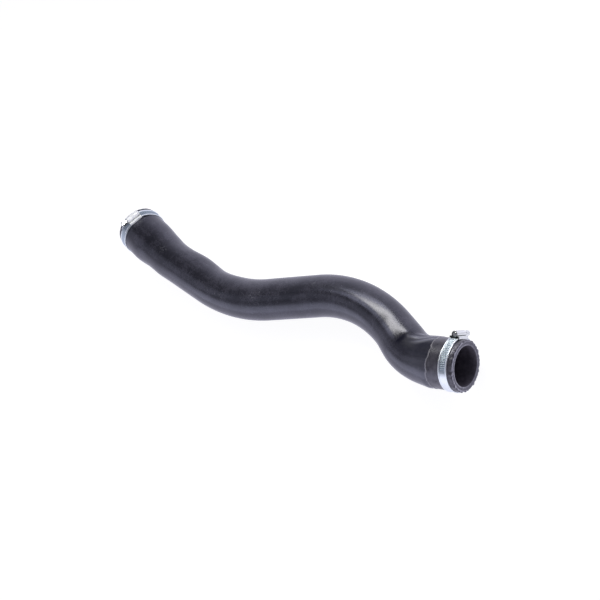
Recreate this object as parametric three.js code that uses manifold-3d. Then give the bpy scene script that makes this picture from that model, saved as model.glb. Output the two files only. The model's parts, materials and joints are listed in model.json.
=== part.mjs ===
// A formed turbo hose with a worm-drive clamp on each of its two cuffs.
// Millimetres, +Z up. The hose lies as it comes to rest: on both clamps and on its rear bend.
// +X points out of the front mouth, and the origin is the middle of the floor under the part.

import * as THREE from "three";
import { mergeVertices } from "three/addons/utils/BufferGeometryUtils.js";
import Module from "manifold-3d";

const wasm = await Module();
wasm.setup();

// Clearance between two pieces that touch on the real hose
const SEAT_GAP = 0.3;

// Hose sections: the middle, the swollen elbow behind the front cuff, and the two cuffs
const MIDDLE_OD = 56;
const MIDDLE_BORE = 46;
const ELBOW_OD = 59.5;
const CUFF_OD = 64;
const CUFF_BORE = 50;
const LIP_ROUND = 1.6;
const BORE_CHAMFER = 0.8;

// Lengths along the hose, each measured from its own mouth
const REAR_CUFF_LENGTH = 38;
const REAR_TAPER_LENGTH = 47;
const REAR_BORE_DEPTH = 48;
const FRONT_PLY_LENGTH = 37;
const ELBOW_START = 72;
const ELBOW_LENGTH = 23;
const ELBOW_TAPER_LENGTH = 33;
const FRONT_BORE_DEPTH = 60;
const BORE_TAPER_LENGTH = 40;

// The outer ply of the front cuff ends in a raised, uneven edge
const PLY_THICKNESS = 0.5;
const PLY_EDGE_LENGTH = 1;
const PLY_EDGE_WAVE = 1.6;
const PLY_WAVE_REACH = 14;
const PLY_WAVES = [
  { share: 0.6, count: 3, phase: 1 },
  { share: 0.4, count: 7, phase: 0 },
];

// Soft undulations that the mandrel left on the inner side of the rear bend
const INNER_SIDE_FOLDS = [
  { fromRear: 111, height: -0.8, length: 22 },
  { fromRear: 146, height: 1.4, length: 22 },
  { fromRear: 193, height: -1.5, length: 26 },
];
const FOLD_SPREAD = 1.3;

// Corners of the hose's centre line in plan, from the point under the front mouth, and bend radii
const REAR_MOUTH = { x: -598, y: 135.5 };
const REAR_CUFF_BEND = { x: -538, y: 101, radius: 400 };
const REAR_BEND = { x: -386, y: 44, radius: 220 };
const MIDDLE_BEND = { x: -167, y: 77, radius: 175 };
const FRONT_BEND = { x: -74, y: 0, radius: 70 };
const MIDDLE_BEND_LIFT = 5;
const REAR_BEND_SAG = 0.8;

// Worm-drive clamp: band, housing and screw
const BAND_WIDTH = 12;
const BAND_THICKNESS = 0.7;
const BAND_LIP_HEIGHT = 0.5;
const BAND_LIP_WIDTH = 1.2;
const BAND_LIP_SLOPE = 0.3;
const THREAD_PITCH = 2.6;
const THREAD_DEPTH = 0.3;
const THREADED_LENGTH = 78;
const BAND_TAIL = 15;
const BAND_TAIL_TIP = 0.6;
const BAND_END_INSET = 2;
const BAND_RAMP_LENGTH = 20;
const HOUSING_LENGTH = 20;
const HOUSING_WALL = 0.8;
const HOUSING_END_WALL = 1;
const HOUSING_CORNER = 0.8;
const SCREW_OD = 6.4;
const SCREW_TIP_CHAMFER = 0.7;
const NECK_OD = 4.6;
const COLLAR_OD = 8.4;
const COLLAR_LENGTH = 1.3;
const HEAD_ACROSS_FLATS = 7;
const HEAD_LENGTH = 8;
const SLOT_WIDTH = 1.3;
const SLOT_DEPTH = 2.4;

// Where each clamp sits: the hose left free beyond it, and its housing's turn from the top
const FRONT_CLAMP = { lip: 6.8, turnDeg: -73 };
const REAR_CLAMP = { lip: 7.5, turnDeg: 22 };

// Mesh steps
const HOSE_SIDES = 36;
const HOSE_STEP = 12;
const BORE_STEP = 16;
const END_STEP = 3.2;
const LIP_STEPS = 3;
const BAND_STEP_DEG = 7;
const ROUND_SIDES = 28;
const CUFF_SIDES = 84;

const DEG = Math.PI / 180;
const FULL_TURN_DEG = 360;
const UP = new THREE.Vector3(0, 0, 1);

// Sizes that follow from the ones above
const cuffRadius = CUFF_OD / 2;
const middleRadius = MIDDLE_OD / 2;
const bandInner = cuffRadius + SEAT_GAP;
const bandOuter = bandInner + BAND_THICKNESS + BAND_LIP_HEIGHT;
const overlapInner = bandOuter + SEAT_GAP;
const overlapBase = overlapInner + BAND_THICKNESS;
const overlapOuter = overlapBase + BAND_LIP_HEIGHT;
const screwRadius = SCREW_OD / 2;
const screwHeight = overlapBase + SEAT_GAP + screwRadius;
const screwBore = screwRadius + SEAT_GAP;
const neckRadius = NECK_OD / 2;
const housingEnd = HOUSING_LENGTH / 2;

const rubber = new THREE.MeshStandardMaterial({ color: 0x2a2b30, roughness: 0.5, metalness: 0 });
const plate = new THREE.MeshStandardMaterial({ color: 0xc8ccd1, roughness: 0.3, metalness: 1 });
const screwPlate = new THREE.MeshStandardMaterial({ color: 0xb4b8bd, roughness: 0.25, metalness: 1 });

// A value that moves smoothly from 0 to 1 as x goes from a to b
function ease(x, a, b) {
  return THREE.MathUtils.smoothstep(x, a, b);
}

// A radius along the hose that passes smoothly through knots of [place, radius]
function smoothProfile(knots) {
  return (place) => {
    const next = knots.findIndex(([at]) => at >= place);
    if (next <= 0) return next < 0 ? knots.at(-1)[1] : knots[0][1];
    const [a, ra] = knots[next - 1];
    const [b, rb] = knots[next];
    return ra + (rb - ra) * ease(place, a, b);
  };
}

// A closed mesh from points and triangles
function meshGeometry(points, triangles) {
  const geometry = new THREE.BufferGeometry().setFromPoints(points);
  geometry.setIndex(triangles);
  geometry.computeVertexNormals();
  return geometry;
}

// The triangles between ring i and ring j of a surface whose rings have the same number of points
function ringTriangles(i, j, count) {
  const triangles = [];
  for (let k = 0; k < count; k++) {
    const m = (k + 1) % count;
    triangles.push(i * count + k, j * count + k, j * count + m);
    triangles.push(i * count + k, j * count + m, i * count + m);
  }
  return triangles;
}

// Booleans
function toSolid(geometry) {
  const bare = geometry.clone();
  bare.deleteAttribute("normal");
  bare.deleteAttribute("uv");
  const merged = mergeVertices(bare, 1e-4);
  return new wasm.Manifold(
    new wasm.Mesh({
      numProp: 3,
      vertProperties: merged.attributes.position.array,
      triVerts: new Uint32Array(merged.index.array),
    }),
  );
}

function fromSolid(solid) {
  const { vertProperties, triVerts } = solid.getMesh();
  const geometry = new THREE.BufferGeometry();
  geometry.setAttribute("position", new THREE.BufferAttribute(vertProperties, 3));
  geometry.setIndex(new THREE.BufferAttribute(triVerts, 1));
  geometry.computeVertexNormals();
  return geometry;
}

// Centre line: straight legs joined by arcs
class BendArc extends THREE.Curve {
  constructor(centre, start, heading, radius, turn) {
    super();
    this.centre = centre;
    this.spoke = start.clone().sub(centre).normalize();
    this.heading = heading;
    this.radius = radius;
    this.turn = turn;
  }
  getPoint(t, target = new THREE.Vector3()) {
    const angle = this.turn * t;
    return target
      .copy(this.centre)
      .addScaledVector(this.spoke, this.radius * Math.cos(angle))
      .addScaledVector(this.heading, this.radius * Math.sin(angle));
  }
}

function bentPath(corners) {
  const path = new THREE.CurvePath();
  let from = corners[0].point;
  for (let i = 1; i < corners.length - 1; i++) {
    const { point, radius } = corners[i];
    const back = corners[i - 1].point.clone().sub(point).normalize();
    const ahead = corners[i + 1].point.clone().sub(point).normalize();
    const turn = Math.PI - back.angleTo(ahead);
    const reach = radius * Math.tan(turn / 2);
    const start = point.clone().addScaledVector(back, reach);
    const inward = back.clone().add(ahead).normalize();
    const centre = point.clone().addScaledVector(inward, radius / Math.cos(turn / 2));
    path.add(new THREE.LineCurve3(from, start));
    path.add(new BendArc(centre, start, back.clone().negate(), radius, turn));
    from = point.clone().addScaledVector(ahead, reach);
  }
  path.add(new THREE.LineCurve3(from, corners.at(-1).point));
  return path;
}

function hosePath() {
  const corner = ({ x, y, radius }, height) => ({ point: new THREE.Vector3(x, y, height), radius });
  return bentPath([
    corner(REAR_MOUTH, bandOuter),
    corner(REAR_CUFF_BEND, bandOuter),
    corner(REAR_BEND, middleRadius - REAR_BEND_SAG),
    corner(MIDDLE_BEND, middleRadius + MIDDLE_BEND_LIFT),
    corner(FRONT_BEND, bandOuter),
    corner({ x: 0, y: 0 }, bandOuter),
  ]);
}

// The place, direction, left side and upper side of the hose at a distance from its rear mouth
function frameAt(path, distance) {
  const share = THREE.MathUtils.clamp(distance / path.getLength(), 0, 1);
  const point = path.getPoint(share);
  const tangent = path.getTangent(share);
  const left = UP.clone().cross(tangent).normalize();
  const upper = tangent.clone().cross(left);
  return { point, tangent, left, upper };
}

// Hose body
function outerProfile(length) {
  const plyEdge = length - FRONT_PLY_LENGTH;
  const elbowEnd = length - ELBOW_START;
  const elbowStart = elbowEnd - ELBOW_LENGTH;
  return smoothProfile([
    [REAR_CUFF_LENGTH, cuffRadius],
    [REAR_CUFF_LENGTH + REAR_TAPER_LENGTH, middleRadius],
    [elbowStart - ELBOW_TAPER_LENGTH, middleRadius],
    [elbowStart, ELBOW_OD / 2],
    [elbowEnd, ELBOW_OD / 2],
    [plyEdge - PLY_EDGE_LENGTH / 2, cuffRadius - PLY_THICKNESS],
    [plyEdge + PLY_EDGE_LENGTH / 2, cuffRadius],
  ]);
}

function boreProfile(length) {
  const frontBoreEnd = length - FRONT_BORE_DEPTH;
  return smoothProfile([
    [REAR_BORE_DEPTH, CUFF_BORE / 2],
    [REAR_BORE_DEPTH + BORE_TAPER_LENGTH, MIDDLE_BORE / 2],
    [frontBoreEnd - BORE_TAPER_LENGTH, MIDDLE_BORE / 2],
    [frontBoreEnd, CUFF_BORE / 2],
  ]);
}

// How far the rear bend's inner side stands out at a place and an angle from the top
function foldHeight(distance, angle) {
  const sideways = Math.abs(angle - Math.PI / 2) / FOLD_SPREAD;
  if (sideways >= 1) return 0;
  const spread = Math.cos((sideways * Math.PI) / 2) ** 2;
  return INNER_SIDE_FOLDS.reduce((sum, { fromRear, height, length }) => {
    const along = (distance - fromRear) / length;
    return sum + spread * height * Math.exp(-along * along);
  }, 0);
}

// The uneven run of the ply edge round the cuff, and how far along the hose it pulls the mesh
function plyShift(length, distance, angle) {
  const nearness = 1 - Math.abs(distance - (length - FRONT_PLY_LENGTH)) / PLY_WAVE_REACH;
  const wave = PLY_WAVES.reduce(
    (sum, { share, count, phase }) => sum + share * Math.sin(count * angle + phase),
    0,
  );
  return PLY_EDGE_WAVE * wave * Math.max(0, nearness);
}

// Places along the hose between two ends, one each step or closer
function placesBetween(from, to, step) {
  const count = Math.max(1, Math.ceil((to - from) / step));
  return Array.from({ length: count }, (_, i) => from + ((to - from) * i) / count);
}

// The rounded outer corner of an end face: points of [distance in from the mouth, distance in from the side]
function lipRounding() {
  return Array.from({ length: LIP_STEPS + 1 }, (_, i) => {
    const angle = (Math.PI / 2) * (i / LIP_STEPS);
    return [LIP_ROUND * (1 - Math.sin(angle)), LIP_ROUND * (1 - Math.cos(angle))];
  });
}

function hoseBody(path) {
  const length = path.getLength();
  const outer = outerProfile(length);
  const bore = boreProfile(length);
  const plyEdge = length - FRONT_PLY_LENGTH;
  const half = PLY_EDGE_LENGTH / 2;
  const outerPlaces = [
    ...placesBetween(END_STEP, plyEdge - half, HOSE_STEP),
    plyEdge - half,
    ...placesBetween(plyEdge + half, length - END_STEP, HOSE_STEP),
    length - END_STEP,
  ];
  const borePlaces = placesBetween(END_STEP, length - END_STEP, BORE_STEP);
  const chamferStart = length - BORE_CHAMFER;
  const mouthRadius = CUFF_BORE / 2 + BORE_CHAMFER;
  const rings = [
    ...lipRounding().reverse().map(([along, inward]) => [along, () => cuffRadius - inward]),
    ...outerPlaces.map((at) => [at, (angle) => outer(at) + foldHeight(at, angle)]),
    ...lipRounding().map(([along, inward]) => [length - along, () => cuffRadius - inward]),
    [length, () => mouthRadius],
    [chamferStart, () => CUFF_BORE / 2],
    ...borePlaces.reverse().map((at) => [at, (angle) => bore(at) + foldHeight(at, angle)]),
    [BORE_CHAMFER, () => CUFF_BORE / 2],
    [0, () => mouthRadius],
  ];
  const points = rings.flatMap(([at, radiusAt]) => hoseRing(path, at, radiusAt));
  const triangles = rings.flatMap((_, i) => ringTriangles(i, (i + 1) % rings.length, HOSE_SIDES));
  return meshGeometry(points, triangles);
}

function hoseRing(path, distance, radiusAt) {
  return Array.from({ length: HOSE_SIDES }, (_, k) => {
    const angle = (2 * Math.PI * k) / HOSE_SIDES;
    const shifted = distance + plyShift(path.getLength(), distance, angle);
    const { point, left, upper } = frameAt(path, shifted);
    const radius = radiusAt(angle);
    return point
      .addScaledVector(upper, radius * Math.cos(angle))
      .addScaledVector(left, radius * Math.sin(angle));
  });
}

// Clamp band: one strip round the cuff. Angles run from the housing's middle. The fixed end lies
// under the housing, and the free end passes over it, under the screw, and out as a tail.
function bandAngles() {
  const perLength = 1 / (overlapInner * DEG);
  const reach = housingEnd * perLength;
  const fixedEnd = -FULL_TURN_DEG - (housingEnd - BAND_END_INSET) * perLength;
  const tailEnd = reach + BAND_TAIL * perLength;
  const rampEnd = -reach;
  const rampStart = rampEnd - BAND_RAMP_LENGTH * perLength;
  const threadStart = rampEnd - THREADED_LENGTH * perLength;
  return { fixedEnd, threadStart, rampStart, rampEnd, tailEnd };
}

function bandStations({ fixedEnd, threadStart, tailEnd }) {
  const grooveStep = THREAD_PITCH / 2 / (overlapInner * DEG);
  const grooves = Math.floor((tailEnd - threadStart) / grooveStep / 2);
  const plain = placesBetween(fixedEnd, threadStart, BAND_STEP_DEG).map((deg) => [deg, 0]);
  const threaded = Array.from({ length: 2 * grooves }, (_, i) => [
    threadStart + i * grooveStep,
    i % 2 ? THREAD_DEPTH : 0,
  ]);
  return [...plain, ...threaded, [tailEnd, 0]];
}

function bandSection(grooveDepth, widthShare) {
  const edge = (BAND_WIDTH / 2) * widthShare;
  const lipTop = BAND_THICKNESS + BAND_LIP_HEIGHT;
  const lipInner = edge - BAND_LIP_WIDTH;
  const floorEdge = lipInner - BAND_LIP_SLOPE;
  const floor = BAND_THICKNESS - grooveDepth;
  return [
    [-edge, 0],
    [-edge, lipTop],
    [-lipInner, lipTop],
    [-floorEdge, floor],
    [floorEdge, floor],
    [lipInner, lipTop],
    [edge, lipTop],
    [edge, 0],
  ].map(([along, height]) => new THREE.Vector2(along, height));
}

function clampBand() {
  const angles = bandAngles();
  const stations = bandStations(angles);
  const rings = stations.map(([deg, groove]) => {
    const lift = ease(deg, angles.rampStart, angles.rampEnd);
    const inner = bandInner + (overlapInner - bandInner) * lift;
    const widthShare = deg === angles.tailEnd ? BAND_TAIL_TIP : 1;
    return bandSection(groove, widthShare).map(
      ({ x, y }) =>
        new THREE.Vector3(x, (inner + y) * Math.sin(deg * DEG), (inner + y) * Math.cos(deg * DEG)),
    );
  });
  const count = rings[0].length;
  const cap = THREE.ShapeUtils.triangulateShape(bandSection(0, 1), []);
  const last = (rings.length - 1) * count;
  const triangles = rings.slice(1).flatMap((_, i) => ringTriangles(i, i + 1, count));
  for (const [a, b, c] of cap) {
    triangles.push(a, c, b);
    triangles.push(last + a, last + b, last + c);
  }
  return outwards(meshGeometry(rings.flat(), triangles));
}

// Turns every triangle over where a mesh was wound facing in
function outwards(geometry) {
  const index = geometry.index.array;
  const position = geometry.attributes.position;
  const corner = (i) => new THREE.Vector3().fromBufferAttribute(position, index[i]);
  let volume = 0;
  for (let i = 0; i < index.length; i += 3) {
    volume += corner(i).dot(corner(i + 1).cross(corner(i + 2)));
  }
  if (volume > 0) return geometry;
  for (let i = 0; i < index.length; i += 3) {
    [index[i], index[i + 1]] = [index[i + 1], index[i]];
  }
  geometry.computeVertexNormals();
  return geometry;
}

// Clamp housing: a pressed arch over the band, with a barrel for the screw and one closed end
function rodAlongY(radius, from, to) {
  const rod = new THREE.CylinderGeometry(radius, radius, to - from, ROUND_SIDES);
  rod.translate(0, (from + to) / 2, screwHeight);
  return toSolid(rod);
}

function housingOutline() {
  const halfWidth = BAND_WIDTH / 2 + SEAT_GAP + HOUSING_WALL;
  const shoulder = overlapOuter + SEAT_GAP + HOUSING_WALL;
  const barrel = screwBore + HOUSING_WALL;
  const spring = Math.asin((shoulder - screwHeight) / barrel);
  const foot = cuffRadius * Math.cos(Math.asin(housingEnd / cuffRadius)) - HOUSING_WALL;
  const outline = new THREE.Shape();
  outline.moveTo(-halfWidth, foot);
  outline.lineTo(halfWidth, foot);
  outline.lineTo(halfWidth, shoulder - HOUSING_CORNER);
  outline.absarc(halfWidth - HOUSING_CORNER, shoulder - HOUSING_CORNER, HOUSING_CORNER, 0, Math.PI / 2);
  outline.absarc(0, screwHeight, barrel, spring, Math.PI - spring);
  outline.absarc(
    HOUSING_CORNER - halfWidth,
    shoulder - HOUSING_CORNER,
    HOUSING_CORNER,
    Math.PI / 2,
    Math.PI,
  );
  return outline;
}

function clampHousing() {
  const block = new THREE.ExtrudeGeometry(housingOutline(), {
    depth: HOUSING_LENGTH,
    bevelEnabled: false,
    curveSegments: ROUND_SIDES / 2,
  });
  block.rotateX(Math.PI / 2);
  block.translate(0, housingEnd, 0);
  const passageTop = overlapOuter + SEAT_GAP;
  const passage = new THREE.BoxGeometry(BAND_WIDTH + 2 * SEAT_GAP, CUFF_OD, passageTop);
  passage.translate(0, 0, passageTop / 2);
  const cuff = new THREE.CylinderGeometry(bandInner, bandInner, CUFF_OD, CUFF_SIDES);
  cuff.rotateZ(Math.PI / 2);
  return fromSolid(
    toSolid(block)
      .subtract(toSolid(passage))
      .subtract(toSolid(cuff))
      .subtract(rodAlongY(screwBore, -HOUSING_LENGTH, housingEnd - HOUSING_END_WALL))
      .subtract(rodAlongY(neckRadius + SEAT_GAP, -HOUSING_LENGTH, HOUSING_LENGTH)),
  );
}

// Clamp screw, along Y at its own axis: worm, neck through the housing's end, collar and slotted hex head
function clampScrew() {
  const wormEnd = housingEnd - HOUSING_END_WALL - SEAT_GAP;
  const collarStart = housingEnd + SEAT_GAP;
  const collarEnd = collarStart + COLLAR_LENGTH;
  const headEnd = collarEnd + HEAD_LENGTH;
  const tip = -housingEnd - SEAT_GAP;
  const shank = new THREE.LatheGeometry(
    [
      [0, tip],
      [screwRadius - SCREW_TIP_CHAMFER, tip],
      [screwRadius, tip + SCREW_TIP_CHAMFER],
      [screwRadius, wormEnd],
      [neckRadius, wormEnd],
      [neckRadius, collarStart],
      [COLLAR_OD / 2, collarStart],
      [COLLAR_OD / 2, collarEnd],
      [0, collarEnd],
    ].map(([radius, along]) => new THREE.Vector2(radius, along)),
    ROUND_SIDES,
  );
  const corner = HEAD_ACROSS_FLATS / Math.sqrt(3);
  const rooted = collarStart + COLLAR_LENGTH / 2;
  const head = new THREE.CylinderGeometry(corner, corner, headEnd - rooted, 6);
  head.translate(0, (headEnd + rooted) / 2, 0);
  const slot = new THREE.BoxGeometry(SLOT_WIDTH, 2 * SLOT_DEPTH, 2 * COLLAR_OD);
  slot.translate(0, headEnd, 0);
  return fromSolid(toSolid(shank).add(toSolid(head)).subtract(toSolid(slot)));
}

// Placing
function namedMesh(name, geometry, material) {
  const mesh = new THREE.Mesh(geometry, material);
  mesh.name = name;
  return mesh;
}

// A group whose X axis points out of the mouth, with the housing turned round it from the top
function clampGroup(prefix, place, outward, turnDeg) {
  const group = new THREE.Group();
  const side = UP.clone().cross(outward);
  group.matrix.makeBasis(outward, side, UP).setPosition(place);
  group.matrix.decompose(group.position, group.quaternion, group.scale);
  group.rotateX(turnDeg * DEG);
  const screw = namedMesh(`${prefix}_clamp_screw`, clampScrew(), screwPlate);
  screw.position.z = screwHeight;
  group.add(
    namedMesh(`${prefix}_clamp_band`, clampBand(), plate),
    namedMesh(`${prefix}_clamp_housing`, clampHousing(), plate),
    screw,
  );
  return group;
}

function turboHose() {
  const path = hosePath();
  const length = path.getLength();
  const rearPlace = REAR_CLAMP.lip + BAND_WIDTH / 2;
  const frontPlace = length - FRONT_CLAMP.lip - BAND_WIDTH / 2;
  const rear = frameAt(path, rearPlace);
  const front = frameAt(path, frontPlace);
  const hose = new THREE.Group();
  hose.add(
    namedMesh("hose_body", outwards(hoseBody(path)), rubber),
    clampGroup("front", front.point, front.tangent, FRONT_CLAMP.turnDeg),
    clampGroup("rear", rear.point, rear.tangent.negate(), REAR_CLAMP.turnDeg),
  );
  const box = new THREE.Box3().setFromObject(hose, true);
  const centre = box.getCenter(new THREE.Vector3());
  hose.position.set(-centre.x, -centre.y, -box.min.z);
  return hose;
}

export default turboHose();
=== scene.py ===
"""A formed rubber turbo hose with a worm-drive clamp on each cuff, dressed round its CAD model.

Metres, +Z up. The hose lies on a pale floor, with +X out of its front mouth.
"""

import contextlib
import json
import math

import bmesh
import bpy
import numpy as np
from mathutils import Matrix, Vector


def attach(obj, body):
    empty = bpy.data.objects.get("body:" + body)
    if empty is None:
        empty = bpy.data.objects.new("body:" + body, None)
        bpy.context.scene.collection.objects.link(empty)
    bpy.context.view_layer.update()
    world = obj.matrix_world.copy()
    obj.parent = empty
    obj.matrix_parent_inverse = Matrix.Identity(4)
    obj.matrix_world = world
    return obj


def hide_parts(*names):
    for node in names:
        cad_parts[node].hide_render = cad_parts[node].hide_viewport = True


MM = 0.001
DEG = math.pi / 180
UP = np.array([0.0, 0.0, 1.0])

# Hose sections
MIDDLE_RADIUS = 28 * MM
ELBOW_RADIUS = 29.75 * MM
CUFF_RADIUS = 32 * MM
CUFF_BORE_RADIUS = 25 * MM
MIDDLE_BORE_RADIUS = 23 * MM

# Lengths along the hose, each measured from its own mouth
REAR_CUFF_LENGTH = 38 * MM
REAR_TAPER_LENGTH = 47 * MM
REAR_BORE_DEPTH = 48 * MM
FRONT_PLY_LENGTH = 37 * MM
ELBOW_START = 72 * MM
ELBOW_LENGTH = 23 * MM
ELBOW_TAPER_LENGTH = 33 * MM
FRONT_BORE_DEPTH = 60 * MM
BORE_TAPER_LENGTH = 40 * MM

# Corners of the centre line in plan, from the point under the front mouth: x, y, height, bend radius
CUFF_HEIGHT = 33.5 * MM
CENTRE_LINE = [
    (-598 * MM, 135.5 * MM, CUFF_HEIGHT, 0),
    (-538 * MM, 101 * MM, CUFF_HEIGHT, 400 * MM),
    (-386 * MM, 44 * MM, 27.2 * MM, 220 * MM),
    (-167 * MM, 77 * MM, 33 * MM, 175 * MM),
    (-74 * MM, 0, CUFF_HEIGHT, 70 * MM),
    (0, 0, CUFF_HEIGHT, 0),
]

# Soft undulations on the inner side of the rear bend: place from the rear mouth, height, length
INNER_SIDE_FOLDS = [
    (111 * MM, -0.8 * MM, 22 * MM),
    (146 * MM, 1.4 * MM, 22 * MM),
    (193 * MM, -1.5 * MM, 26 * MM),
]
FOLD_SPREAD = 1.3

# Ridges that the inner side of the front elbow has where the plies were pushed together:
# angle from the top at the ply edge, height, and how far the ridge runs back from the edge
ELBOW_RIDGES = [
    (66 * DEG, 1.0 * MM, 46 * MM),
    (51 * DEG, 0.9 * MM, 34 * MM),
    (84 * DEG, 0.8 * MM, 40 * MM),
]
RIDGE_WIDTH = 3 * MM
RIDGE_TWIST = 0.65 * DEG / MM
RIDGE_FADE = 10 * MM
RIDGE_END = (-1 * MM, 4 * MM)

# The elbow's top: a hollow that starts steeply and runs out at the ply edge, and a duller skin with
# painted shade from the hollow's start to the band, between two angles from the top
HOLLOW_BACK = 53 * MM
HOLLOW_ANGLE = 20 * DEG
HOLLOW_DEPTH = 1.1 * MM
HOLLOW_FALL = 11 * MM
HOLLOW_WIDTH = 17 * MM
DULL_SHADE_FADE = 5 * MM
DULL_SHADE_LEFT = (62 * DEG, 26 * DEG)
DULL_SHADE_RIGHT = (-22 * DEG, 16 * DEG)
DULL_SHADE_END = (-28 * MM, -20 * MM)

# Paler skin where the elbow runs into the ply edge: how far back it starts, where it is full and how
# pale it then is, and the height at which a ridge gets its full painted highlight
PALE_START = 45 * MM
PALE_FULL = 12 * MM
PALE_NEAR = 0.45
RIDGE_HIGHLIGHT_HEIGHT = 0.75 * MM

# Local swellings: place from the nearer mouth, angle from the top, height, length, spread round it
REAR_SWELLS = [
    (42 * MM, 90 * DEG, 0.6 * MM, 16 * MM, 45 * DEG),
    (78 * MM, 90 * DEG, 0.8 * MM, 12 * MM, 60 * DEG),
    (84 * MM, -90 * DEG, 0.8 * MM, 14 * MM, 60 * DEG),
]
FRONT_SWELLS = [
    (45 * MM, -90 * DEG, 1.4 * MM, 6 * MM, 40 * DEG),
    (62 * MM, 90 * DEG, 0.5 * MM, 12 * MM, 35 * DEG),
]

# The whole section leans aside where the rear cuff narrows: place, shift, length
REAR_LEAN_PLACE = 65 * MM
REAR_LEAN = 1.2 * MM
REAR_LEAN_LENGTH = 18 * MM

# The outer ply of the front cuff ends in a raised, uneven edge
PLY_THICKNESS = 0.5 * MM
PLY_EDGE_WIDTH = 0.9 * MM
PLY_BEAD_HEIGHT = 0.6 * MM
PLY_BEAD_WIDTH = 1.1 * MM
PLY_EDGE_WAVE = 1.6 * MM
PLY_WAVE_REACH = 14 * MM
PLY_BEAD_PATCHES = (0.3, 5, 13)
PLY_WAVES = [(0.7, 3, 1.0), (0.42, 8, 0.0), (0.24, 13, 2.0), (0.2, 21, 0.5), (0.14, 34, 1.5), (0.08, 55, 3.0)]

# Shallow unevenness of the moulded wall: height, and the shortest wave along and round the hose
RIPPLE_HEIGHT = 0.05 * MM
RIPPLE_WAVE = 26 * MM
RIPPLE_LOBES = 9
RIPPLE_COUNT = 26
RIPPLE_SEED = 11

# End faces
LIP_ROUND = 1.8 * MM
BORE_CHAMFER = 0.8 * MM
SCALLOP_HEIGHT = 0.9 * MM
REAR_SCALLOP_SHARE = 0.17
SCALLOP_REACH = 5 * MM
SCALLOPS = [(0.5, 31, 0.4), (0.4, 22, 2.2), (0.35, 13, 4.0), (0.22, 43, 1.0)]
RIM_FADE = 1.2 * MM
# Painted highlight on the end faces' rims: the angle where it is strongest, how it fades round the hose, and
# its least share
RIM_HIGHLIGHT_MIDDLE = -20 * DEG
RIM_HIGHLIGHT_FADE = (110 * DEG, 70 * DEG)
RIM_HIGHLIGHT_LEAST = 0.35
BAND_SQUEEZE = 0.22 * MM
SQUEEZE_REACH = 3 * MM

# Hose mesh steps, and how far the finer ones reach
HOSE_SIDES = 216
HOSE_STEP = 2.4 * MM
FINE_STEP = 0.5 * MM
BORE_STEP = 7 * MM
BORE_FIRST_RING = 3 * MM
FACE_RINGS = [3 * MM, 4.5 * MM]
MOUTH_REACH = 8 * MM
ELBOW_REACH = 46 * MM
EDGE_REACH = 5 * MM
LIP_STEPS = 8

# Worm-drive clamp
SEAT_GAP = 0.3 * MM
BAND_WIDTH = 12 * MM
BAND_THICKNESS = 0.7 * MM
BAND_LIP_HEIGHT = 0.5 * MM
BAND_LIP_WIDTH = 1.2 * MM
BAND_LIP_SLOPE = 0.5 * MM
BAND_EDGE_ROUND = 0.25 * MM
BAND_SECTION_STEPS = 4
THREAD_PITCH = 2.6 * MM
THREAD_DEPTH = 0.45 * MM
THREAD_SLANT = 7 * DEG
THREADED_LENGTH = 52 * MM
THREAD_MARGIN = 1.2 * MM
GROOVE_MIDDLE = 0.9 * MM
GROOVE_ROUNDNESS = 0.7
BAND_TAIL = 15 * MM
BAND_TAIL_TIP = 0.6
BAND_TIP_LENGTH = 3 * MM
BAND_RAMP_LENGTH = 20 * MM
BAND_END_INSET = 2 * MM
BAND_STEP = 2 * MM
THREAD_STEP = 0.3 * MM
HOUSING_LENGTH = 20 * MM
HOUSING_WALL = 0.8 * MM
HOUSING_END_WALL = 1 * MM
HOUSING_CORNER = 1.1 * MM
HOUSING_CORNER_STEPS = 6
HOUSING_EDGE_ROUND = 0.18 * MM
BARREL_FOOT = 0.5 * MM
BARREL_STEPS = 29
END_WALL_SIDES = 40
SCREW_SIDES = 48
SCREW_CENTRE = 0.02 * MM
SCREW_RADIUS = 3.2 * MM
WORM_DEPTH = 0.55 * MM
WORM_CREST = 0.9
WORM_STEPS = 10
SCREW_TIP_CHAMFER = 0.7 * MM
NECK_RADIUS = 2.3 * MM
COLLAR_RADIUS = 4.2 * MM
COLLAR_LENGTH = 1.3 * MM
COLLAR_ROUND = 0.25 * MM
HEAD_ACROSS_FLATS = 7 * MM
HEAD_LENGTH = 8 * MM
HEAD_CHAMFER = 0.5 * MM
HEAD_EDGE_ROUND = 0.2 * MM
SLOT_WIDTH = 1.3 * MM
SLOT_DEPTH = 2.4 * MM
SMOOTH_UP_TO = 35 * DEG

# Where each clamp sits: the hose left free beyond it, and its housing's turn from the top
FRONT_CLAMP = {"prefix": "front", "lip": 6.8 * MM, "turn": -73 * DEG}
REAR_CLAMP = {"prefix": "rear", "lip": 7.5 * MM, "turn": 22 * DEG}

# Rubber tones, and how the materials read their noise and marks
RUBBER_TINT = (0.85, 0.86, 1.0)
SKIN_DARK = (0.010, 0.010, 0.014)
SKIN_LIGHT = (0.040, 0.039, 0.050)
# Painted shade: the darker, bluer skin on the elbow's top
SKIN_PAINTED_SHADE = (0.006, 0.007, 0.020)
# Partly painted highlight: the tone of the ridges' tops, and of the paler skin near the ply edge
SKIN_PALE_AND_HIGHLIGHT = (0.175, 0.178, 0.21)
SKIN_SCUFFED = (0.15, 0.15, 0.16)
EDGE_TONE = (0.22, 0.215, 0.225)
PLY_DARK = (0.066, 0.063, 0.072)
PLY_LIGHT = (0.13, 0.125, 0.14)
# Painted shade: the darker ply on the elbow's top
PLY_PAINTED_SHADE = (0.035, 0.034, 0.042)
CUT_DARK = (0.07, 0.068, 0.078)
CUT_LIGHT = (0.17, 0.165, 0.18)
# Painted highlight on the rims of the sawn faces
CUT_RIM_HIGHLIGHT = (0.55, 0.55, 0.59)
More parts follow.
